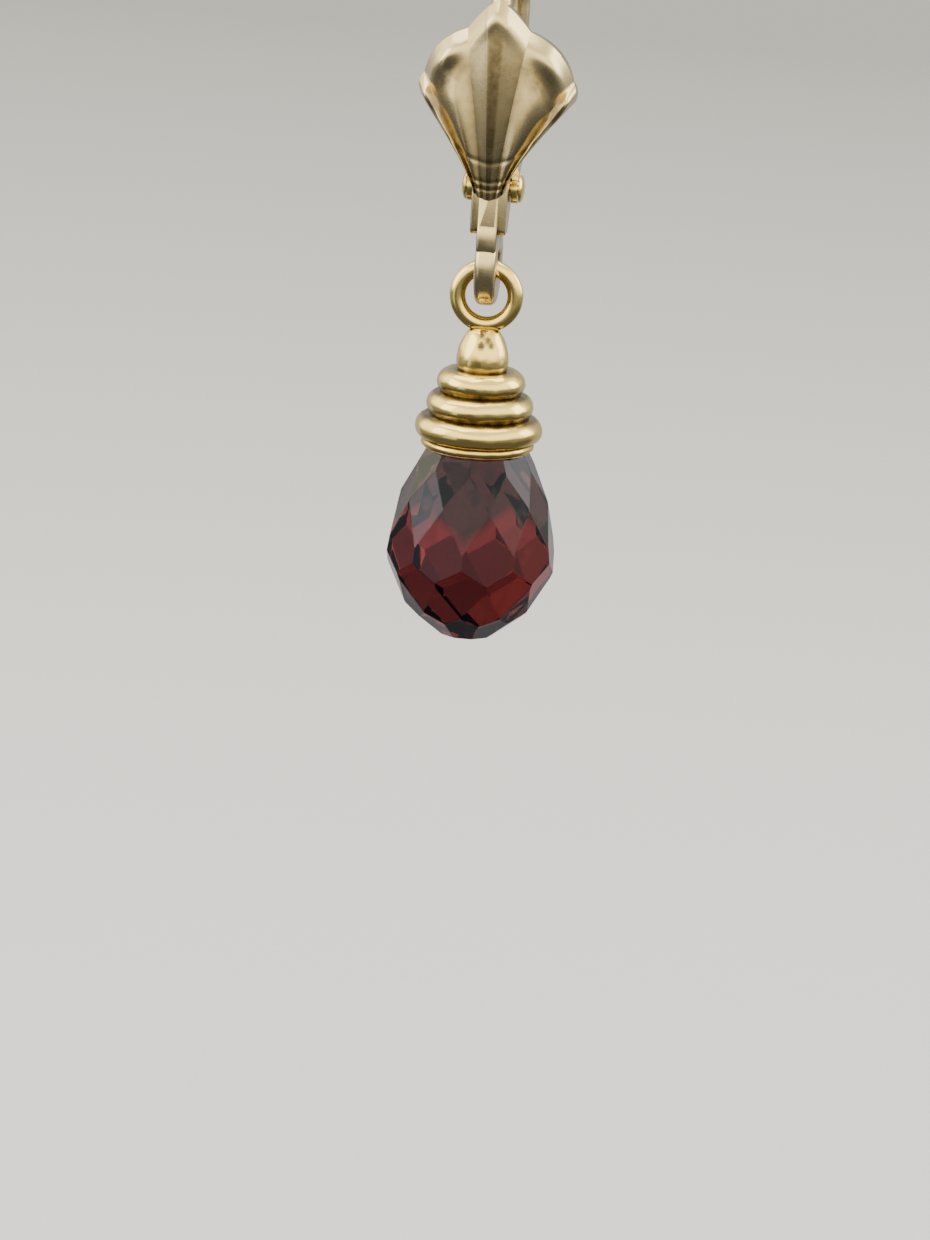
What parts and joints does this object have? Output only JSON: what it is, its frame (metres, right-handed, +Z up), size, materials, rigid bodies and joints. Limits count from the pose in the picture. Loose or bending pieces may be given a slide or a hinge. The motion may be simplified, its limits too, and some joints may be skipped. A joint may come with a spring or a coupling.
{
  "type": "drop earring",
  "caption": "Gold lever-back drop earring: fluted shell front with an open loop, ridged cap with an eye ring and a faceted dark red briolette.",
  "frame": {"origin": "inner top of the ear wire's arch, where the pierced lobe carries the earring", "axes": "+Z up along the hanging drop, -Y towards the shell front, X across the shell"},
  "size_m": [0.007, 0.0114, 0.0298],
  "materials": {
    "gold": "polished yellow gold",
    "garnet": "cut and polished"
  },
  "bodies": {
    "front": {"shell_front": "gold", "hinge_pin": "gold"},
    "lever": {"lever": "gold"},
    "drop": {"drop_cap": "gold", "briolette": "garnet"}
  },
  "joints": [
    {"name": "lever_hinge", "type": "hinge", "parent": "front", "child": "lever", "pos_m": [0, -0.0028, -0.01025], "axis": [-1, 0, 0], "range_deg": [0, 50]},
    {"name": "drop_swing", "type": "hinge", "parent": "front", "child": "drop", "pos_m": [0, -0.00295, -0.01448], "axis": [0, 1, 0], "range_deg": [-80, 80]}
  ]
}
